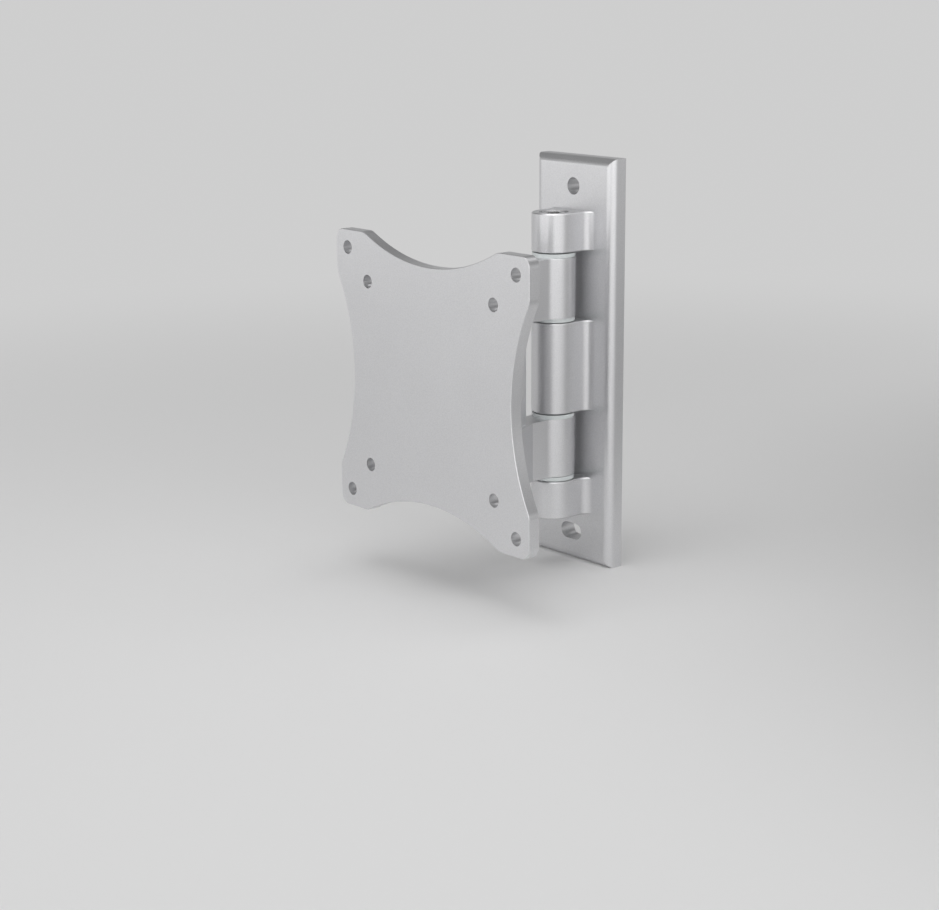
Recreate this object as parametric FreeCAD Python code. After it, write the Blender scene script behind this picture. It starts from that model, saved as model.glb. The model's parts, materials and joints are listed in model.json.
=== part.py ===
import FreeCAD, Part
import math
import os
from FreeCAD import Placement, Rotation, Vector

# Full motion monitor wall mount, in millimetres.
# Origin: middle of the wall plate's back face. +X right, +Y into the wall, +Z up.

# Wall plate
plate_width = 44.4
plate_height = 169.0
plate_thickness = 7.5
plate_edge_radius = 3.4
wall_hole_diameter = 7.0
wall_slot_length = 12.0
wall_hole_spacing = 144.8

# Upright hinge
barrel_diameter = 18.0
barrel_wall_gap = 1.8
knuckle_flare_radius = 3.8
middle_knuckle_length = 37.5
arm_knuckle_length = 24.5
end_knuckle_length = 15.75
swivel_gap = 0.4
edge_break = 0.4

# Flanged bushes in the arm's knuckles
bush_wall = 1.5
bush_length = 8.0
bush_flange_diameter = 17.6
bush_flange_thickness = 1.6

# Swivel arm
arm_thickness = 11.5
arm_knuckle_fillet = 4.5
arm_straight_length = 16.7
arm_flare_angle = 25.5
nose_width = 23.0
nose_fillet = 13.0
fork_corner_radius = 8.0
web_setback = 20.0
web_recess = 1.8

# Tilt pivot
tilt_reach = 46.2
tilt_barrel_diameter = 18.0
friction_disc_thickness = 1.3
tilt_gap = 0.2
sleeve_inset = 0.2
lug_width = 10.5
lug_foot_height = 28.0
lug_foot_fillet = 2.0

# Monitor plate
monitor_plate_size = 114.4
monitor_plate_thickness = 5.2
monitor_plate_reach = 66.2
monitor_corner_radius = 4.2
monitor_edge_break = 0.2
monitor_bow_length = 80.0
monitor_bow_depth = 10.0
monitor_bow_blend = 6.0
monitor_hole_diameter = 5.5
monitor_hole_spacings = (100.0, 75.0)

# Bolt, washer, disc springs and nut, alike on both pivots
shoulder_diameter = 8.0
thread_diameter = 6.0
thread_overrun = 2.0
head_diameter = 10.0
head_height = 4.0
head_recess = 0.4
head_chamfer = 0.5
socket_width = 5.0
socket_depth = 2.6
washer_diameter = 11.5
washer_thickness = 0.8
spring_thickness = 0.6
spring_dish = 0.3
nut_width = 10.0
nut_height = 5.0
nut_recess = 2.5

# Clearances, all on the radius or on one face
running_clearance = 0.05
seat_clearance = 0.02
counterbore_clearance = 0.25
nut_clearance = 0.1
washer_clearance = 0.15
shoulder_end_clearance = 0.3

# How closely an edge has to lie to a place to be picked out by it
match_tolerance = 1e-3

# Angle from a hexagon's flat to its corner, which is also the slope of a nut's cone
hexagon_half_angle = math.radians(30)

# Places that follow from the sizes
barrel_radius = barrel_diameter / 2
tilt_radius = tilt_barrel_diameter / 2
wall_face_y = -plate_thickness
hinge_y = wall_face_y - barrel_wall_gap - barrel_radius
flare_start_y = hinge_y - arm_straight_length
flare_slope = math.tan(math.radians(arm_flare_angle))
arm_root_y = flare_start_y - (nose_width - arm_thickness) / 2 / flare_slope
tilt_y = hinge_y - tilt_reach
monitor_face_y = hinge_y - monitor_plate_reach
monitor_back_y = monitor_face_y + monitor_plate_thickness

knuckle_gap = bush_flange_thickness + swivel_gap
arm_fork_bottom = middle_knuckle_length / 2 + knuckle_gap
arm_fork_top = arm_fork_bottom + arm_knuckle_length
end_knuckle_bottom = arm_fork_top + knuckle_gap
hinge_end = end_knuckle_bottom + end_knuckle_length

lug_inner_x = nose_width / 2 + friction_disc_thickness + tilt_gap
lug_outer_x = lug_inner_x + lug_width

shoulder_bore_radius = shoulder_diameter / 2 + running_clearance
bush_outer_radius = shoulder_bore_radius + bush_wall
bush_bore_radius = bush_outer_radius + seat_clearance
washer_bore_radius = shoulder_diameter / 2 + washer_clearance
spring_height = spring_thickness + spring_dish
nut_pocket_depth = nut_height + nut_recess
spring_stack = head_recess + head_height + washer_thickness + 2 * spring_height


def face_of(edges):
    """Flat face inside a closed run of edges."""
    return Part.Face(Part.Wire(Part.__sortEdges__(edges)))


def line(start, end):
    return Part.LineSegment(Vector(*start), Vector(*end)).toShape()


def arc(start, middle, end):
    return Part.Arc(Vector(*start), Vector(*middle), Vector(*end)).toShape()


def polygon(points):
    """Flat face with straight sides."""
    corners = [Vector(*point) for point in points]
    return Part.Face(Part.makePolygon(corners + corners[:1]))


def rod(radius, bottom, top):
    """Round bar on the Z axis."""
    return Part.makeCylinder(radius, top - bottom, Vector(0, 0, bottom))


def tube(outer_radius, inner_radius, bottom, top):
    """Round ring on the Z axis."""
    return rod(outer_radius, bottom, top).cut(rod(inner_radius, bottom, top))


def hexagon_bar(width, bottom, top):
    """Six-sided bar on the Z axis, measured across its flats."""
    corner_radius = width / 2 / math.cos(hexagon_half_angle)
    turns = [2 * hexagon_half_angle * step for step in range(6)]
    points = [(corner_radius * math.cos(turn), corner_radius * math.sin(turn), bottom) for turn in turns]
    return polygon(points).extrude(Vector(0, 0, top - bottom))


def on_hinge(shape):
    """Move a shape from the Z axis to the upright hinge."""
    placed = shape.copy()
    placed.translate(Vector(0, hinge_y, 0))
    return placed


def on_tilt(shape):
    """Turn a shape from the Z axis to the level tilt axis, +Z to +X."""
    placed = shape.copy()
    move = Placement(Vector(0, tilt_y, 0), Rotation(Vector(0, 1, 0), 90))
    placed.Placement = move.multiply(placed.Placement)
    return placed


def edges_at(shape, axis, value):
    """Edges that lie wholly in the plane where one coordinate has a value."""
    low = {"x": "XMin", "y": "YMin", "z": "ZMin"}[axis]
    high = {"x": "XMax", "y": "YMax", "z": "ZMax"}[axis]
    found = []
    for edge in shape.Edges:
        ends = (getattr(edge.BoundBox, low), getattr(edge.BoundBox, high))
        if max(abs(end - value) for end in ends) < match_tolerance:
            found.append(edge)
    return found


def pivot_bolt(head_face, nut_face):
    """Shouldered bolt with a sunk socket head, between the two faces that it clamps."""
    head_top = head_face - head_recess
    head_bottom = head_top - head_height
    shoulder_end = nut_face + nut_pocket_depth + shoulder_end_clearance
    thread_end = nut_face + nut_recess - thread_overrun
    head = rod(head_diameter / 2, head_bottom, head_top)
    head = head.makeChamfer(head_chamfer, edges_at(head, "z", head_top))
    thread = rod(thread_diameter / 2, thread_end, shoulder_end)
    thread = thread.makeChamfer(head_chamfer, edges_at(thread, "z", thread_end))
    bolt = head.fuse([rod(shoulder_diameter / 2, shoulder_end, head_bottom), thread])
    return bolt.cut(hexagon_bar(socket_width, head_top - socket_depth, head_top)).removeSplitter()


def pivot_washer(head_face):
    bottom = head_face - head_recess - head_height - washer_thickness
    return tube(washer_diameter / 2, washer_bore_radius, bottom, bottom + washer_thickness)


def disc_spring(bottom, inner_edge_up):
    """Dished ring, resting on its outer edge or, turned over, on its inner edge."""
    inner_rise = spring_dish if inner_edge_up else 0
    outer_rise = spring_dish - inner_rise
    section = polygon([
        (washer_bore_radius, 0, bottom + inner_rise),
        (washer_diameter / 2, 0, bottom + outer_rise),
        (washer_diameter / 2, 0, bottom + outer_rise + spring_thickness),
        (washer_bore_radius, 0, bottom + inner_rise + spring_thickness),
    ])
    return section.revolve(Vector(0, 0, 0), Vector(0, 0, 1), 360)


def pivot_nut(nut_face):
    """Nut with its corners turned down to a cone at the end that shows."""
    bottom = nut_face + nut_recess
    top = bottom + nut_height
    corner_radius = nut_width / 2 / math.cos(hexagon_half_angle)
    corner_drop = (corner_radius - nut_width / 2) * math.tan(hexagon_half_angle)
    turned = polygon([
        (0, 0, bottom),
        (nut_width / 2, 0, bottom),
        (corner_radius, 0, bottom + corner_drop),
        (corner_radius, 0, top),
        (0, 0, top),
    ]).revolve(Vector(0, 0, 0), Vector(0, 0, 1), 360)
    nut = hexagon_bar(nut_width, bottom, top).common(turned)
    return nut.cut(rod(thread_diameter / 2 + seat_clearance, bottom, top))


def pivot_bore(head_face, nut_face):
    """What the bolt, springs and nut need cut out of the piece that holds them."""
    through = rod(shoulder_bore_radius, nut_face, head_face)
    counterbore = rod(washer_diameter / 2 + counterbore_clearance, head_face - spring_stack, head_face)
    pocket = hexagon_bar(nut_width + 2 * nut_clearance, nut_face, nut_face + nut_pocket_depth)
    return through.fuse([counterbore, pocket])


def pivot_hardware(head_face, nut_face):
    """Bolt, washer, outer spring, inner spring and nut of one pivot."""
    inner_spring_bottom = head_face - spring_stack
    return (
        pivot_bolt(head_face, nut_face),
        pivot_washer(head_face),
        disc_spring(inner_spring_bottom + spring_height, True),
        disc_spring(inner_spring_bottom, False),
        pivot_nut(nut_face),
    )


def wall_knuckle(bottom, top):
    """Barrel on a neck that flares into the wall plate, with its end edges broken."""
    root_y = -plate_thickness / 2
    foot_x = barrel_radius + knuckle_flare_radius
    neck_y = wall_face_y - knuckle_flare_radius
    swing = knuckle_flare_radius * (1 - math.sqrt(0.5))
    front = (0, hinge_y - barrel_radius, bottom)
    edges = [
        line((-foot_x, root_y, bottom), (foot_x, root_y, bottom)),
        arc((-barrel_radius, hinge_y, bottom), front, (barrel_radius, hinge_y, bottom)),
    ]
    for side in (-1, 1):
        foot = (side * foot_x, wall_face_y, bottom)
        flare = (side * (barrel_radius + swing), wall_face_y - swing, bottom)
        neck = (side * barrel_radius, neck_y, bottom)
        edges.append(line((side * foot_x, root_y, bottom), foot))
        edges.append(arc(foot, flare, neck))
        edges.append(line(neck, (side * barrel_radius, hinge_y, bottom)))
    knuckle = face_of(edges).extrude(Vector(0, 0, top - bottom))
    ends = edges_at(knuckle, "z", bottom) + edges_at(knuckle, "z", top)
    shown = [edge for edge in ends if edge.BoundBox.YMax < wall_face_y + match_tolerance]
    return knuckle.makeChamfer(edge_break, shown)


def wall_slot(height):
    """Level slot through the wall plate."""
    radius = wall_hole_diameter / 2
    reach = wall_slot_length / 2 - radius
    edges = []
    for side in (-1, 1):
        edges.append(line((-reach, 0, height + side * radius), (reach, 0, height + side * radius)))
        end = (side * (reach + radius), 0, height)
        edges.append(arc((side * reach, 0, height - radius), end, (side * reach, 0, height + radius)))
    return face_of(edges).extrude(Vector(0, -plate_thickness, 0))


def wall_bracket():
    """Wall plate with rounded front edges and three hinge knuckles."""
    corner = Vector(-plate_width / 2, wall_face_y, -plate_height / 2)
    plate = Part.makeBox(plate_width, plate_thickness, plate_height, corner)
    plate = plate.makeFillet(plate_edge_radius, edges_at(plate, "y", wall_face_y))
    bracket = plate.fuse([
        wall_knuckle(-middle_knuckle_length / 2, middle_knuckle_length / 2),
        wall_knuckle(end_knuckle_bottom, hinge_end),
        wall_knuckle(-hinge_end, -end_knuckle_bottom),
    ])
    hole_place = Vector(0, wall_face_y, wall_hole_spacing / 2)
    hole = Part.makeCylinder(wall_hole_diameter / 2, plate_thickness, hole_place, Vector(0, 1, 0))
    holes = [hole, wall_slot(-wall_hole_spacing / 2), on_hinge(pivot_bore(hinge_end, -hinge_end))]
    return bracket.cut(holes).removeSplitter()


def arm_plan():
    """Arm seen from above: barrel, fillets to straight flanks, then a flare to the nose's width."""
    bottom = -arm_fork_top
    flank_x = arm_thickness / 2
    nose_x = nose_width / 2
    front_y = tilt_y - tilt_radius
    fillet_x = flank_x + arm_knuckle_fillet
    fillet_reach = barrel_radius + arm_knuckle_fillet
    fillet_y = hinge_y - math.sqrt(fillet_reach ** 2 - fillet_x ** 2)
    touch_share = barrel_radius / fillet_reach
    touch_x = touch_share * fillet_x
    touch_y = hinge_y + touch_share * (fillet_y - hinge_y)
    middle_turn = (math.pi + math.atan2(hinge_y - fillet_y, -fillet_x)) / 2
    middle_x = fillet_x + arm_knuckle_fillet * math.cos(middle_turn)
    middle_y = fillet_y + arm_knuckle_fillet * math.sin(middle_turn)
    rear = (0, hinge_y + barrel_radius, bottom)
    edges = [
        arc((-touch_x, touch_y, bottom), rear, (touch_x, touch_y, bottom)),
        line((-nose_x, front_y, bottom), (nose_x, front_y, bottom)),
    ]
    for side in (-1, 1):
        fillet_end = (side * flank_x, fillet_y, bottom)
        flare_start = (side * flank_x, flare_start_y, bottom)
        root = (side * nose_x, arm_root_y, bottom)
        edges.append(arc((side * touch_x, touch_y, bottom), (side * middle_x, middle_y, bottom), fillet_end))
        edges.append(line(fillet_end, flare_start))
        edges.append(line(flare_start, root))
        edges.append(line(root, (side * nose_x, front_y, bottom)))
    return face_of(edges)


def arm_side():
    """Arm seen from the side: full height to the root, then a nose round the tilt axis."""
    rear_y = hinge_y + barrel_radius
    nose_y = arm_root_y - nose_fillet
    corner_y = arm_root_y + fork_corner_radius
    corner_z = arm_fork_top - fork_corner_radius
    swing = nose_fillet * (1 - math.sqrt(0.5))
    bulge = fork_corner_radius * math.sqrt(0.5)
    edges = [
        line((0, rear_y, -arm_fork_top), (0, rear_y, arm_fork_top)),
        arc((0, tilt_y, -tilt_radius), (0, tilt_y - tilt_radius, 0), (0, tilt_y, tilt_radius)),
    ]
    for side in (-1, 1):
        shoulder = (0, arm_root_y, side * (tilt_radius + nose_fillet))
        hollow = (0, arm_root_y - swing, side * (tilt_radius + swing))
        nose = (0, nose_y, side * tilt_radius)
        corner_start = (0, corner_y, side * arm_fork_top)
        corner_middle = (0, corner_y - bulge, side * (corner_z + bulge))
        corner_end = (0, arm_root_y, side * corner_z)
        edges.append(line((0, rear_y, side * arm_fork_top), corner_start))
        edges.append(arc(corner_start, corner_middle, corner_end))
        edges.append(line(corner_end, shoulder))
        edges.append(arc(shoulder, hollow, nose))
        edges.append(line(nose, (0, tilt_y, side * tilt_radius)))
    return face_of(edges)


def web_side_recess(side):
    """Shallow hollow in one flank of the web, between the two forks."""
    step_x = web_recess / math.cos(math.radians(arm_flare_angle))
    rear_y = hinge_y - barrel_radius
    rear_x = arm_thickness / 2 + (flare_start_y - rear_y) * flare_slope
    points = [
        (side * (rear_x - step_x), rear_y, -arm_fork_bottom),
        (side * (nose_width / 2 - step_x), arm_root_y, -arm_fork_bottom),
        (side * nose_width, arm_root_y, -arm_fork_bottom),
        (side * nose_width, rear_y, -arm_fork_bottom),
    ]
    return polygon(points).extrude(Vector(0, 0, 2 * arm_fork_bottom))


def swivel_arm():
    """Forked arm with two hinge knuckles behind and the tilt nose in front."""
    arm = arm_plan().extrude(Vector(0, 0, 2 * arm_fork_top))
    ends = edges_at(arm, "z", -arm_fork_top) + edges_at(arm, "z", arm_fork_top)
    arm = arm.makeChamfer(edge_break, ends)
    side = arm_side()
    side.translate(Vector(-nose_width, 0, 0))
    arm = arm.common(side.extrude(Vector(2 * nose_width, 0, 0)))
    notch_corner = Vector(-nose_width, hinge_y - web_setback, -arm_fork_bottom)
    notch_depth = web_setback + barrel_diameter
    cuts = [
        Part.makeBox(2 * nose_width, notch_depth, 2 * arm_fork_bottom, notch_corner),
        web_side_recess(-1),
        web_side_recess(1),
        on_hinge(rod(bush_bore_radius, -arm_fork_top, arm_fork_top)),
        on_tilt(rod(bush_bore_radius, -nose_width / 2, nose_width / 2)),
    ]
    return arm.cut(cuts).removeSplitter()


def knuckle_bush(seat, outward):
    """Flanged bush pressed into one end of an arm knuckle; outward is +1 up or -1 down."""
    flange_end = seat + outward * bush_flange_thickness
    sleeve_end = seat - outward * bush_length
    flange = rod(bush_flange_diameter / 2, min(seat, flange_end), max(seat, flange_end))
    sleeve = rod(bush_outer_radius, min(seat, sleeve_end), max(seat, sleeve_end))
    bore = rod(shoulder_bore_radius, min(sleeve_end, flange_end), max(sleeve_end, flange_end))
    return on_hinge(flange.fuse(sleeve).cut(bore).removeSplitter())


def friction_disc(side):
    """Disc that lies against one cheek of the nose."""
    inner = side * nose_width / 2
    outer = side * (nose_width / 2 + friction_disc_thickness)
    disc = tube(tilt_radius, shoulder_bore_radius, min(inner, outer), max(inner, outer))
    return on_tilt(disc)


def tilt_sleeve():
    """Plain bush in the nose, a little short of its cheeks."""
    reach = nose_width / 2 - sleeve_inset
    return on_tilt(tube(bush_outer_radius, shoulder_bore_radius, -reach, reach))


def monitor_outline():
    """Square outline with round corners and a bowed-in arc along each side."""
    half = monitor_plate_size / 2
    corner = half - monitor_corner_radius
    bow = monitor_bow_length / 2
    swing = corner + monitor_corner_radius * math.sqrt(0.5)
    edges = []
    for quarter in range(4):
        turn = math.radians(90 * quarter)

        def turned(x, z):
            return (
                x * math.cos(turn) - z * math.sin(turn),
                monitor_back_y,
                x * math.sin(turn) + z * math.cos(turn),
            )

        edges.append(line(turned(-corner, -half), turned(-bow, -half)))
        edges.append(arc(turned(-bow, -half), turned(0, monitor_bow_depth - half), turned(bow, -half)))
        edges.append(line(turned(bow, -half), turned(corner, -half)))
        edges.append(arc(turned(corner, -half), turned(swing, -swing), turned(half, -corner)))
    return face_of(edges)


def bow_end_edges(plate):
    """Edges through the plate where a bowed arc meets a straight run."""
    half = monitor_plate_size / 2
    bow = monitor_bow_length / 2
    found = []
    for edge in plate.Edges:
        box = edge.BoundBox
        across = sorted([abs(box.Center.x), abs(box.Center.z)])
        miss = abs(across[0] - bow) + abs(across[1] - half)
        if box.YLength > monitor_plate_thickness / 2 and miss < match_tolerance:
            found.append(edge)
    return found


def tilt_lug():
    """Lug seen from the side: round the tilt axis, its flanks running out to a wider foot."""
    foot_z = lug_foot_height / 2
    foot_reach = tilt_y - monitor_back_y
    foot_slant = math.hypot(foot_reach, foot_z)
    touch_angle = math.pi - math.atan2(foot_z, foot_reach) - math.acos(tilt_radius / foot_slant)
    touch_y = tilt_y + tilt_radius * math.cos(touch_angle)
    touch_z = tilt_radius * math.sin(touch_angle)
    back_y = tilt_y + tilt_radius
    root_y = monitor_back_y - monitor_plate_thickness / 2
    edges = [
        line((0, root_y, -foot_z), (0, root_y, foot_z)),
        arc((0, touch_y, -touch_z), (0, back_y, 0), (0, touch_y, touch_z)),
    ]
    for side in (-1, 1):
        edges.append(line((0, root_y, side * foot_z), (0, monitor_back_y, side * foot_z)))
        edges.append(line((0, monitor_back_y, side * foot_z), (0, touch_y, side * touch_z)))
    return face_of(edges).extrude(Vector(lug_width, 0, 0))


def lug_foot_edges(plate):
    """Edges where the lugs stand on the plate's back."""
    found = []
    for edge in edges_at(plate, "y", monitor_back_y):
        box = edge.BoundBox
        reach = max(abs(box.XMin), abs(box.XMax))
        if reach < lug_outer_x + match_tolerance and box.XLength < lug_width + match_tolerance:
            found.append(edge)
    return found


def monitor_plate():
    """Plate that the screen bolts to, with two lugs for the tilt bolt on its back."""
    plate = monitor_outline().extrude(Vector(0, -monitor_plate_thickness, 0))
    plate = plate.makeFillet(monitor_bow_blend, bow_end_edges(plate))
    rims = edges_at(plate, "y", monitor_face_y) + edges_at(plate, "y", monitor_back_y)
    plate = plate.makeChamfer(monitor_edge_break, rims)
    lugs = []
    for start in (-lug_outer_x, lug_inner_x):
        lug = tilt_lug()
        lug.translate(Vector(start, 0, 0))
        lugs.append(lug)
    plate = plate.fuse(lugs).removeSplitter()
    plate = plate.makeFillet(lug_foot_fillet, lug_foot_edges(plate))
    cuts = [on_tilt(pivot_bore(lug_outer_x, -lug_outer_x))]
    hole_radius = monitor_hole_diameter / 2
    for spacing in monitor_hole_spacings:
        for x in (-spacing / 2, spacing / 2):
            for z in (-spacing / 2, spacing / 2):
                place = Vector(x, monitor_face_y, z)
                cuts.append(Part.makeCylinder(hole_radius, monitor_plate_thickness, place, Vector(0, 1, 0)))
    return plate.cut(cuts).removeSplitter()


def build():
    """Every piece by the name of its node."""
    pieces = {
        "wall_bracket": wall_bracket(),
        "swivel_arm": swivel_arm(),
        "monitor_plate": monitor_plate(),
        "upper_knuckle_top_bush": knuckle_bush(arm_fork_top, 1),
        "upper_knuckle_bottom_bush": knuckle_bush(arm_fork_bottom, -1),
        "lower_knuckle_top_bush": knuckle_bush(-arm_fork_bottom, 1),
        "lower_knuckle_bottom_bush": knuckle_bush(-arm_fork_top, -1),
        "tilt_sleeve": tilt_sleeve(),
        "tilt_friction_disc_left": friction_disc(-1),
        "tilt_friction_disc_right": friction_disc(1),
    }
    hinge_names = ("bolt", "washer", "disc_spring_upper", "disc_spring_lower", "nut")
    for name, shape in zip(hinge_names, pivot_hardware(hinge_end, -hinge_end)):
        pieces["hinge_" + name] = on_hinge(shape)
    tilt_names = ("bolt", "washer", "disc_spring_outer", "disc_spring_inner", "nut")
    for name, shape in zip(tilt_names, pivot_hardware(lug_outer_x, -lug_outer_x)):
        pieces["tilt_" + name] = on_tilt(shape)
    return pieces


os.makedirs("parts", exist_ok=True)
for node, shape in build().items():
    shape.exportStep("parts/" + node + ".step")
    print(node, len(shape.Solids), shape.isValid(), round(shape.Volume))
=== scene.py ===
import json
import math

import bpy
from mathutils import Matrix, Vector


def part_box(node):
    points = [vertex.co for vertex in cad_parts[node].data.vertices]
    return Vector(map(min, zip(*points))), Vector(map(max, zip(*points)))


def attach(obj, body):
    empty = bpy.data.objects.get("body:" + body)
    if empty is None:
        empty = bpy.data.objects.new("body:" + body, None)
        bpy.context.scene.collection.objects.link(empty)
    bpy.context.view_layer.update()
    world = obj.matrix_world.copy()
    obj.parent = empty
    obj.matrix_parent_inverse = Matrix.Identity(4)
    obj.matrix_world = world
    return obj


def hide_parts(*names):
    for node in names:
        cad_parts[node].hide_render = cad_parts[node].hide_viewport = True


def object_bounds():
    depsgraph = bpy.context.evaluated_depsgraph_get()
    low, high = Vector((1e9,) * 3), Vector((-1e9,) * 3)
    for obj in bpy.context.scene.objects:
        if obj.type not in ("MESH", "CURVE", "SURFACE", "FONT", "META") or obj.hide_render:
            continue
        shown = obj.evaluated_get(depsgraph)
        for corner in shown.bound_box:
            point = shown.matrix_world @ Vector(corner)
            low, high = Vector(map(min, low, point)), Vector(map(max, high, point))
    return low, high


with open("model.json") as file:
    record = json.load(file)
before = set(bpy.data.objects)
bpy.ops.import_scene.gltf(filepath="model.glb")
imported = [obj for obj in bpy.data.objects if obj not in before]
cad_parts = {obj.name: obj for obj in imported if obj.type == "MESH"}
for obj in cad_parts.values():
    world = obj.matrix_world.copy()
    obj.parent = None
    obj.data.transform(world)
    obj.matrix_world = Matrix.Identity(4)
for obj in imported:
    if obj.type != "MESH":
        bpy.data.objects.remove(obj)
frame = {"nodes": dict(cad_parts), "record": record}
cad_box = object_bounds()

# Camera, fitted to both plates' holes and edges in the photograph; places are in metres
photo_width_px = 939
focal_px = 1978.5
sensor_mm = 36.0
camera_azimuth_deg = 49.061
camera_elevation_deg = 14.053
camera_roll_deg = -0.377
camera_place = Vector((0.57742, -0.56486, 0.16127))
nearest_seen = 0.01

# Floor, in metres and plain brightness; its painted shade, a soft patch where its colour and glow are
# darker, lies to the right, mostly outside the picture
floor_radius = 60.0
floor_sides = 96
floor_roughness = 0.9
floor_grey = 0.82
far_floor_grey = 0.62
far_floor_start = 0.12
far_floor_end = 0.8
# Painted shade: a soft round patch of darker floor colour and glow, not a cast shadow
painted_shade_grey = 0.32
far_painted_shade_grey = 0.22
painted_shade_place = Vector((0.37, 0.32, 0.0))
painted_shade_radius = 0.54

# Dome, which has the far floor's brightness at the horizon, and soft panels
zenith_grey = 0.13
zenith_start = 0.6
panel_distance = 1.5

# Bolts of both pivots, in metres
head_diameter = 0.010
head_height = 0.004
bolt_chamfer = 0.0005
socket_width = 0.005
socket_depth = 0.0026
socket_sides = 6
shoulder_diameter = 0.008
thread_diameter = 0.006
thread_depth = 0.0005
thread_pitch = 0.001
thread_length = 0.0073

# Thread's flanks, as shares of a pitch from the middle of its root, and fineness of the bolts' meshes
root_edge = 0.07
crest_edge = 0.43
half_pitch = 0.5
rings_for_each_turn = 12
bolt_sides = 64
weld_distance = 0.000001


def new_material(name):
    """Node material with its shader; returns material, nodes, links and shader."""
    material = bpy.data.materials.new(name)
    material.use_nodes = True
    nodes = material.node_tree.nodes
    links = material.node_tree.links
    shader = nodes["Principled BSDF"]
    return material, nodes, links, shader


def noise(nodes, links, scale, detail):
    """Noise texture on Object coordinates."""
    texture = nodes.new("ShaderNodeTexNoise")
    texture.inputs["Scale"].default_value = scale
    texture.inputs["Detail"].default_value = detail
    links.new(nodes.new("ShaderNodeTexCoord").outputs["Object"], texture.inputs["Vector"])
    return texture.outputs["Fac"]


def ramp(nodes, links, factor, low, high, start=0.3, end=0.7):
    """Colour or grey between two values."""
    node = nodes.new("ShaderNodeValToRGB")
    for element, value, position in zip(node.color_ramp.elements, (low, high), (start, end)):
        red, green, blue = value if isinstance(value, tuple) else (value, value, value)
        element.color = (red, green, blue, 1)
        element.position = position
    links.new(factor, node.inputs["Fac"])
    return node.outputs["Color"]


def bump(nodes, links, height, strength, distance):
    """Normal that follows a fine relief."""
    node = nodes.new("ShaderNodeBump")
    node.inputs["Strength"].default_value = strength
    node.inputs["Distance"].default_value = distance
    links.new(height, node.inputs["Height"])
    return node.outputs["Normal"]


def satin_silver():
    """Fine-grained satin silver coat over cast aluminium."""
    material, nodes, links, shader = new_material("satin_silver_coat")
    grain = noise(nodes, links, scale=2600, detail=3)
    cloud = noise(nodes, links, scale=45, detail=2)
    colour = ramp(nodes, links, grain, low=(0.66, 0.66, 0.672), high=(0.74, 0.74, 0.752))
    shader.inputs["Metallic"].default_value = 0.87
    links.new(colour, shader.inputs["Base Color"])
    links.new(ramp(nodes, links, cloud, low=0.31, high=0.36), shader.inputs["Roughness"])
    links.new(bump(nodes, links, grain, strength=0.12, distance=0.0001), shader.inputs["Normal"])
    return material


def grained_finish(name, metallic, scale, detail, dark, light, smooth, rough):
    """Finish whose colour and roughness follow one fine grain."""
    material, nodes, links, shader = new_material(name)
    grain = noise(nodes, links, scale, detail)
    shader.inputs["Metallic"].default_value = metallic
    links.new(ramp(nodes, links, grain, dark, light), shader.inputs["Base Color"])
    links.new(ramp(nodes, links, grain, smooth, rough), shader.inputs["Roughness"])
    return material


def plated_steel():
    """Zinc plated steel of the bolts, washers and nuts."""
    return grained_finish(
        "plated_steel", metallic=1.0, scale=2200, detail=3,
        dark=(0.58, 0.58, 0.58), light=(0.63, 0.63, 0.62), smooth=0.26, rough=0.30,
    )


def blued_steel():
    """Dark hardened steel of the disc springs."""
    return grained_finish(
        "blued_spring_steel", metallic=1.0, scale=700, detail=3,
        dark=(0.10, 0.10, 0.12), light=(0.18, 0.18, 0.20), smooth=0.35, rough=0.5,
    )


def bush_plastic():
    """Pale glossy plastic of the flanged bushes and the tilt sleeve."""
    return grained_finish(
        "pale_bush_plastic", metallic=0.0, scale=300, detail=3,
        dark=(0.66, 0.70, 0.70), light=(0.74, 0.77, 0.77), smooth=0.10, rough=0.16,
    )


def pressed_fibre():
    """Dull dark fibre of the friction discs."""
    return grained_finish(
        "pressed_fibre", metallic=0.0, scale=1800, detail=4,
        dark=(0.02, 0.02, 0.02), light=(0.07, 0.065, 0.06), smooth=0.6, rough=0.8,
    )


def paint_nodes():
    """Each solid gets the finish of its slot in the record."""
    finishes = {
        "satin_silver": satin_silver(),
        "bolt_steel": plated_steel(),
        "spring_steel": blued_steel(),
        "pale_plastic": bush_plastic(),
        "dark_fibre": pressed_fibre(),
    }
    for subpart in frame["record"]["subparts"]:
        mesh = frame["nodes"][subpart["node"]].data
        mesh.materials.clear()
        mesh.materials.append(finishes[subpart["material_slot"]])


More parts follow.
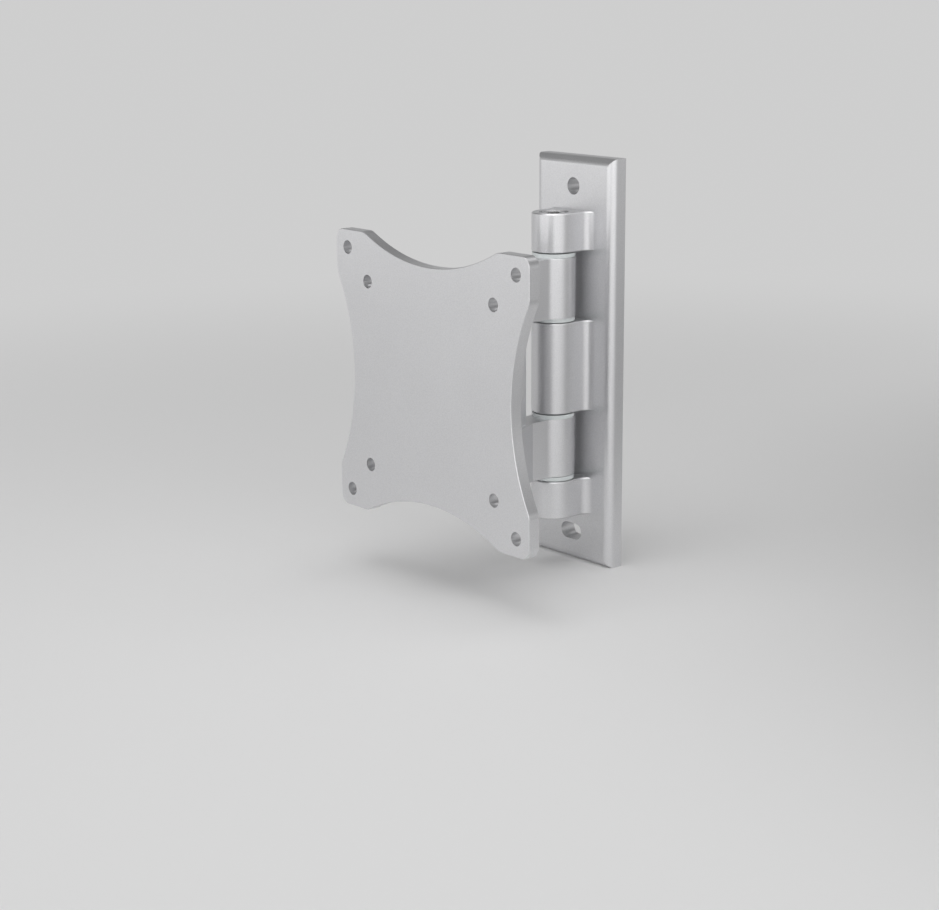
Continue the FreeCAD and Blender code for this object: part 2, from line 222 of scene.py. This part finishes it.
class BoltTree:
    """Geometry Nodes tree of a shouldered socket bolt with a turned thread.

    The middle of its head's top is at the origin, and its thread points down.
    """

    kinds = {
        "Head Radius": "NodeSocketFloat",
        "Head Height": "NodeSocketFloat",
        "Chamfer": "NodeSocketFloat",
        "Socket Corner Radius": "NodeSocketFloat",
        "Socket Depth": "NodeSocketFloat",
        "Shoulder Radius": "NodeSocketFloat",
        "Shoulder Length": "NodeSocketFloat",
        "Thread Radius": "NodeSocketFloat",
        "Thread Depth": "NodeSocketFloat",
        "Thread Pitch": "NodeSocketFloat",
        "Thread Length": "NodeSocketFloat",
        "Thread Rings": "NodeSocketInt",
        "Around": "NodeSocketInt",
        "Place": "NodeSocketVector",
        "Turn": "NodeSocketVector",
        "Finish": "NodeSocketMaterial",
    }

    def __init__(self):
        self.tree = bpy.data.node_groups.new("pivot_bolt", "GeometryNodeTree")
        self.nodes = self.tree.nodes
        self.links = self.tree.links
        self.identifiers = {}
        for name, kind in self.kinds.items():
            socket = self.tree.interface.new_socket(name, in_out="INPUT", socket_type=kind)
            self.identifiers[name] = socket.identifier
        self.tree.interface.new_socket("Bolt", in_out="OUTPUT", socket_type="NodeSocketGeometry")
        self.given = self.nodes.new("NodeGroupInput").outputs
        self.join(self.faces())

    def feed(self, socket, value):
        """Link a socket to a value in the tree, or set it to a plain number."""
        if isinstance(value, bpy.types.NodeSocket):
            self.links.new(value, socket)
        else:
            socket.default_value = value

    def calculated(self, operation, *values):
        """Result of one operation on values in the tree or plain numbers."""
        node = self.nodes.new("ShaderNodeMath")
        node.operation = operation
        for socket, value in zip(node.inputs, values):
            self.feed(socket, value)
        return node.outputs["Value"]

    def lowered(self, geometry, depth):
        """Geometry moved down by a depth."""
        shift = self.nodes.new("ShaderNodeCombineXYZ")
        self.links.new(self.calculated("MULTIPLY", depth, -1.0), shift.inputs["Z"])
        move = self.nodes.new("GeometryNodeTransform")
        self.links.new(geometry, move.inputs["Geometry"])
        self.links.new(shift.outputs["Vector"], move.inputs["Translation"])
        return move.outputs["Geometry"]

    def shaded(self, geometry, smooth):
        """Geometry with smooth or flat shading."""
        node = self.nodes.new("GeometryNodeSetShadeSmooth")
        self.links.new(geometry, node.inputs["Geometry"])
        node.inputs["Shade Smooth"].default_value = smooth
        return node.outputs["Geometry"]

    def flipped(self, geometry):
        """Geometry with its faces turned round."""
        node = self.nodes.new("GeometryNodeFlipFaces")
        self.links.new(geometry, node.inputs["Mesh"])
        return node.outputs["Mesh"]

    def wall(self, around, rings, radius, height):
        """Open upright wall, its middle at the origin."""
        node = self.nodes.new("GeometryNodeMeshCylinder")
        node.fill_type = "NONE"
        self.feed(node.inputs["Vertices"], around)
        self.feed(node.inputs["Side Segments"], rings)
        self.feed(node.inputs["Radius"], radius)
        self.feed(node.inputs["Depth"], height)
        return node.outputs["Mesh"]

    def slanted_rim(self, top_radius):
        """Chamfer between the head's top and its side."""
        node = self.nodes.new("GeometryNodeMeshCone")
        node.fill_type = "NONE"
        self.feed(node.inputs["Vertices"], self.given["Around"])
        self.feed(node.inputs["Radius Top"], top_radius)
        self.feed(node.inputs["Radius Bottom"], self.given["Head Radius"])
        self.feed(node.inputs["Depth"], self.given["Chamfer"])
        return self.shaded(node.outputs["Mesh"], False)

    def disc(self, around, radius):
        """Flat disc that faces up."""
        node = self.nodes.new("GeometryNodeMeshCircle")
        node.fill_type = "NGON"
        self.feed(node.inputs["Vertices"], around)
        self.feed(node.inputs["Radius"], radius)
        return self.shaded(node.outputs["Mesh"], False)

    def ring(self, outer_radius, inner_around, inner_radius):
        """Flat ring that faces up, between a circle and a smaller circle or six-sided hole."""
        rims = self.nodes.new("GeometryNodeJoinGeometry")
        for around, radius in ((self.given["Around"], outer_radius), (inner_around, inner_radius)):
            rim = self.nodes.new("GeometryNodeCurvePrimitiveCircle")
            self.feed(rim.inputs["Resolution"], around)
            self.feed(rim.inputs["Radius"], radius)
            self.links.new(rim.outputs["Curve"], rims.inputs["Geometry"])
        fill = self.nodes.new("GeometryNodeFillCurve")
        self.links.new(rims.outputs["Geometry"], fill.inputs["Curve"])
        return self.shaded(fill.outputs["Mesh"], False)

    def thread_wall(self, root, end_radius):
        """Wall of unit radius, moved in to a groove that climbs by one pitch in each turn.

        It starts at the root and runs out to the chamfer at its end.
        """
        given = self.given
        calculated = self.calculated
        split = self.nodes.new("ShaderNodeSeparateXYZ")
        place = self.nodes.new("GeometryNodeInputPosition").outputs["Position"]
        self.links.new(place, split.inputs["Vector"])
        x, y, z = split.outputs["X"], split.outputs["Y"], split.outputs["Z"]
        turns = calculated("DIVIDE", calculated("ARCTAN2", y, x), 2 * math.pi)
        climb = calculated("SUBTRACT", calculated("DIVIDE", z, given["Thread Pitch"]), turns)
        flank = self.nodes.new("ShaderNodeMapRange")
        self.links.new(calculated("PINGPONG", climb, half_pitch), flank.inputs["Value"])
        flank.inputs["From Min"].default_value = root_edge
        flank.inputs["From Max"].default_value = crest_edge
        self.feed(flank.inputs["To Min"], root)
        self.feed(flank.inputs["To Max"], given["Thread Radius"])
        half_length = calculated("MULTIPLY", given["Thread Length"], 0.5)
        start_cone = calculated("ADD", root, calculated("SUBTRACT", half_length, z))
        end_cone = calculated("ADD", end_radius, calculated("ADD", half_length, z))
        either_cone = calculated("MINIMUM", start_cone, end_cone)
        radius = calculated("MINIMUM", flank.outputs["Result"], either_cone)
        moved = self.nodes.new("ShaderNodeCombineXYZ")
        self.links.new(calculated("MULTIPLY", x, radius), moved.inputs["X"])
        self.links.new(calculated("MULTIPLY", y, radius), moved.inputs["Y"])
        self.links.new(z, moved.inputs["Z"])
        plain_wall = self.wall(given["Around"], given["Thread Rings"], 1.0, given["Thread Length"])
        shape = self.nodes.new("GeometryNodeSetPosition")
        self.links.new(plain_wall, shape.inputs["Geometry"])
        self.links.new(moved.outputs["Vector"], shape.inputs["Position"])
        return self.shaded(shape.outputs["Geometry"], True)

    def faces(self):
        """The bolt's faces, from its head's top down to its thread's end."""
        given = self.given
        calculated = self.calculated
        around = given["Around"]
        top_radius = calculated("SUBTRACT", given["Head Radius"], given["Chamfer"])
        side_height = calculated("SUBTRACT", given["Head Height"], given["Chamfer"])
        side_sum = calculated("ADD", given["Head Height"], given["Chamfer"])
        side_middle = calculated("MULTIPLY", side_sum, 0.5)
        socket_middle = calculated("MULTIPLY", given["Socket Depth"], 0.5)
        shoulder_middle = calculated("MULTIPLY_ADD", given["Shoulder Length"], 0.5, given["Head Height"])
        shoulder_end = calculated("ADD", given["Head Height"], given["Shoulder Length"])
        thread_middle = calculated("MULTIPLY_ADD", given["Thread Length"], 0.5, shoulder_end)
        thread_end = calculated("ADD", shoulder_end, given["Thread Length"])
        root = calculated("SUBTRACT", given["Thread Radius"], given["Thread Depth"])
        end_radius = calculated("SUBTRACT", given["Thread Radius"], given["Chamfer"])

        head_top = self.ring(top_radius, socket_sides, given["Socket Corner Radius"])
        socket_wall = self.wall(socket_sides, 1, given["Socket Corner Radius"], given["Socket Depth"])
        socket_floor = self.disc(socket_sides, given["Socket Corner Radius"])
        head_side = self.wall(around, 1, given["Head Radius"], side_height)
        head_under = self.ring(given["Head Radius"], around, given["Shoulder Radius"])
        shoulder_side = self.wall(around, 1, given["Shoulder Radius"], given["Shoulder Length"])
        shoulder_under = self.ring(given["Shoulder Radius"], around, root)
        return [
            head_top,
            self.lowered(self.shaded(self.flipped(socket_wall), False), socket_middle),
            self.lowered(socket_floor, given["Socket Depth"]),
            self.lowered(self.slanted_rim(top_radius), given["Chamfer"]),
            self.lowered(self.shaded(head_side, True), side_middle),
            self.lowered(self.flipped(head_under), given["Head Height"]),
            self.lowered(self.shaded(shoulder_side, True), shoulder_middle),
            self.lowered(self.flipped(shoulder_under), shoulder_end),
            self.lowered(self.thread_wall(root, end_radius), thread_middle),
            self.lowered(self.flipped(self.disc(around, end_radius)), thread_end),
        ]

    def join(self, faces):
        """Weld the faces into one closed mesh, put it in its place and give it its finish."""
        whole = self.nodes.new("GeometryNodeJoinGeometry")
        for face in faces:
            self.links.new(face, whole.inputs["Geometry"])
        welded = self.nodes.new("GeometryNodeMergeByDistance")
        welded.inputs["Distance"].default_value = weld_distance
        self.links.new(whole.outputs["Geometry"], welded.inputs["Geometry"])
        placed = self.nodes.new("GeometryNodeTransform")
        self.links.new(welded.outputs["Geometry"], placed.inputs["Geometry"])
        self.links.new(self.given["Place"], placed.inputs["Translation"])
        self.links.new(self.given["Turn"], placed.inputs["Rotation"])
        realized = self.nodes.new("GeometryNodeRealizeInstances")
        self.links.new(placed.outputs["Geometry"], realized.inputs["Geometry"])
        painted = self.nodes.new("GeometryNodeSetMaterial")
        self.links.new(realized.outputs["Geometry"], painted.inputs["Geometry"])
        self.links.new(self.given["Finish"], painted.inputs["Material"])
        self.links.new(painted.outputs["Geometry"], self.nodes.new("NodeGroupOutput").inputs["Bolt"])


def threaded_bolt(pattern, node, body, place, turn, length):
    """Bolt from the tree, turned into a plain mesh in the place of the node's plain bolt."""
    values = {
        "Head Radius": head_diameter / 2,
        "Head Height": head_height,
        "Chamfer": bolt_chamfer,
        "Socket Corner Radius": socket_width / 2 / math.cos(math.pi / socket_sides),
        "Socket Depth": socket_depth,
        "Shoulder Radius": shoulder_diameter / 2,
        "Shoulder Length": length - head_height - thread_length,
        "Thread Radius": thread_diameter / 2,
        "Thread Depth": thread_depth,
        "Thread Pitch": thread_pitch,
        "Thread Length": thread_length,
        "Thread Rings": round(rings_for_each_turn * thread_length / thread_pitch),
        "Around": bolt_sides,
        "Place": place,
        "Turn": turn,
        "Finish": bpy.data.materials["plated_steel"],
    }
    source = bpy.data.objects.new(node + "_source", bpy.data.meshes.new(node + "_source"))
    bpy.context.scene.collection.objects.link(source)
    modifier = source.modifiers.new("bolt", "NODES")
    modifier.node_group = pattern.tree
    for name, value in values.items():
        modifier[pattern.identifiers[name]] = value
    shown = source.evaluated_get(bpy.context.evaluated_depsgraph_get())
    bolt = bpy.data.objects.new(node + "_threaded", bpy.data.meshes.new_from_object(shown))
    bpy.data.objects.remove(source)
    bpy.context.scene.collection.objects.link(bolt)
    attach(bolt, body)
    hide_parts(node)


def pivot_bolts():
    """Both bolts with the thread that their plain solids leave out."""
    pattern = BoltTree()
    joints = {joint["name"]: joint for joint in frame["record"]["behaviour"]["joints"]}
    swivel_axis = Vector(joints["swivel"]["pos_m"])
    tilt_axis = Vector(joints["tilt"]["pos_m"])
    low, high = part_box("hinge_bolt")
    place = (swivel_axis.x, swivel_axis.y, high.z)
    upright = (0, 0, 0)
    threaded_bolt(pattern, "hinge_bolt", "wall_side", place, upright, high.z - low.z)
    low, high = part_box("tilt_bolt")
    place = (high.x, tilt_axis.y, tilt_axis.z)
    head_to_right = (0, math.radians(90), 0)
    threaded_bolt(pattern, "tilt_bolt", "monitor_side", place, head_to_right, high.x - low.x)


def distance_to(nodes, links, point):
    """Distance on Object coordinates to a point."""
    node = nodes.new("ShaderNodeVectorMath")
    node.operation = "DISTANCE"
    node.inputs[1].default_value = point
    links.new(nodes.new("ShaderNodeTexCoord").outputs["Object"], node.inputs[0])
    return node.outputs["Value"]


def smooth_share(nodes, links, value, start, end):
    """Share that rises smoothly from 0 at the start to 1 at the end."""
    node = nodes.new("ShaderNodeMapRange")
    node.interpolation_type = "SMOOTHSTEP"
    node.inputs["From Min"].default_value = start
    node.inputs["From Max"].default_value = end
    links.new(value, node.inputs["Value"])
    return node.outputs["Result"]


def combined(nodes, links, operation, first, second):
    """Result of one operation on two values."""
    node = nodes.new("ShaderNodeMath")
    node.operation = operation
    links.new(first, node.inputs[0])
    links.new(second, node.inputs[1])
    return node.outputs["Value"]


def floor_finish(height):
    """Pale finish that takes the mount's shadow nearby and glows evenly far off, but for a painted shade: a
    soft patch where its colour and glow are darker.
    """
    material, nodes, links, shader = new_material("pale_floor")
    # Painted shade: the floor's colour and glow grow darker towards the patch's middle
    from_painted_shade = distance_to(nodes, links, painted_shade_place + Vector((0, 0, height)))
    open_share = smooth_share(nodes, links, from_painted_shade, 0, painted_shade_radius)
    near_grey = ramp(nodes, links, open_share, painted_shade_grey, floor_grey, start=0, end=1)
    far_grey = ramp(nodes, links, open_share, far_painted_shade_grey, far_floor_grey, start=0, end=1)
    links.new(near_grey, shader.inputs["Base Color"])
    shader.inputs["Roughness"].default_value = floor_roughness
    glow = nodes.new("ShaderNodeEmission")
    links.new(far_grey, glow.inputs["Color"])

    ray = nodes.new("ShaderNodeLightPath").outputs
    seen = combined(nodes, links, "MAXIMUM", ray["Is Camera Ray"], ray["Is Glossy Ray"])
    seen = combined(nodes, links, "MAXIMUM", seen, ray["Is Transmission Ray"])
    from_mount = distance_to(nodes, links, (0, 0, 0))
    far_share = smooth_share(nodes, links, from_mount, far_floor_start, far_floor_end)
    mix = nodes.new("ShaderNodeMixShader")
    links.new(combined(nodes, links, "MULTIPLY", far_share, seen), mix.inputs["Fac"])
    links.new(shader.outputs["BSDF"], mix.inputs[1])
    links.new(glow.outputs["Emission"], mix.inputs[2])
    links.new(mix.outputs["Shader"], nodes["Material Output"].inputs["Surface"])
    return material


def pale_floor():
    """Round floor under the wall plate's lower end."""
    height = cad_box[0][2]
    turns = [2 * math.pi * side / floor_sides for side in range(floor_sides)]
    rim = [(floor_radius * math.cos(turn), floor_radius * math.sin(turn), height) for turn in turns]
    mesh = bpy.data.meshes.new("floor")
    mesh.from_pydata(rim, [], [list(range(floor_sides))])
    mesh.materials.append(floor_finish(height))
    floor = bpy.data.objects.new("floor", mesh)
    bpy.context.scene.collection.objects.link(floor)


def add_lamp(name, data, place, target):
    """Lamp at a place, turned to a target and not seen itself."""
    lamp = bpy.data.objects.new(name, data)
    lamp.location = place
    lamp.rotation_euler = (Vector(target) - Vector(place)).to_track_quat("-Z", "Y").to_euler()
    lamp.visible_camera = False
    bpy.context.scene.collection.objects.link(lamp)


def soft_panel(name, azimuth_deg, width, height, watts):
    """Large upright soft panel that stands on the floor at an azimuth; 0 is straight in front."""
    data = bpy.data.lights.new(name, "AREA")
    data.shape = "RECTANGLE"
    data.size = width
    data.size_y = height
    data.energy = watts
    azimuth = math.radians(azimuth_deg)
    middle = cad_box[0][2] + height / 2
    place = (panel_distance * math.sin(azimuth), -panel_distance * math.cos(azimuth), middle)
    add_lamp(name, data, place, (0, 0, middle))


def down_lamp(name, place, size, watts):
    """Square soft lamp that points straight down."""
    data = bpy.data.lights.new(name, "AREA")
    data.size = size
    data.energy = watts
    add_lamp(name, data, place, (place[0], place[1], 0))


def dim_dome():
    """Sky that is palest at the horizon."""
    world = bpy.data.worlds.new("studio")
    world.use_nodes = True
    nodes = world.node_tree.nodes
    links = world.node_tree.links
    split = nodes.new("ShaderNodeSeparateXYZ")
    links.new(nodes.new("ShaderNodeTexCoord").outputs["Generated"], split.inputs["Vector"])
    dome = ramp(nodes, links, split.outputs["Z"], far_floor_grey, zenith_grey, start=0, end=zenith_start)
    links.new(dome, nodes["Background"].inputs["Color"])
    bpy.context.scene.world = world


def studio_light():
    """Soft panels round the front and three soft lamps above."""
    soft_panel("left_panel", azimuth_deg=-36, width=1.2, height=0.3, watts=0.8)
    soft_panel("front_panel", azimuth_deg=-4, width=1.2, height=1.4, watts=5.6)
    soft_panel("middle_panel", azimuth_deg=32, width=1.2, height=1.1, watts=3.5)
    soft_panel("right_panel", azimuth_deg=74, width=1.4, height=1.1, watts=5.6)
    down_lamp("overhead", place=(0.25, -0.4, 1.2), size=1.0, watts=6.0)
    down_lamp("left_floor_lamp", place=(-0.4, -0.35, 1.5), size=0.9, watts=2.0)
    down_lamp("back_floor_lamp", place=(0.3, 0.6, 1.3), size=1.0, watts=3.4)


def photo_camera():
    """Camera at the photograph's place and angle."""
    azimuth = math.radians(camera_azimuth_deg)
    elevation = math.radians(camera_elevation_deg)
    roll = math.radians(camera_roll_deg)
    back = Vector((
        math.sin(azimuth) * math.cos(elevation),
        -math.cos(azimuth) * math.cos(elevation),
        math.sin(elevation),
    ))
    level_right = Vector((math.cos(azimuth), math.sin(azimuth), 0))
    level_up = back.cross(level_right)
    right = math.cos(roll) * level_right + math.sin(roll) * level_up
    up = math.cos(roll) * level_up - math.sin(roll) * level_right
    data = bpy.data.cameras.new("photo_camera")
    data.sensor_width = sensor_mm
    data.sensor_fit = "HORIZONTAL"
    data.lens = focal_px / photo_width_px * sensor_mm
    data.clip_start = nearest_seen
    camera = bpy.data.objects.new("photo_camera", data)
    turn = Matrix((right, up, back)).transposed().to_4x4()
    camera.matrix_world = Matrix.Translation(camera_place) @ turn
    bpy.context.scene.collection.objects.link(camera)
    bpy.context.scene.camera = camera


paint_nodes()
pivot_bolts()
pale_floor()
dim_dome()
studio_light()
photo_camera()
bpy.context.scene.view_settings.view_transform = "Standard"
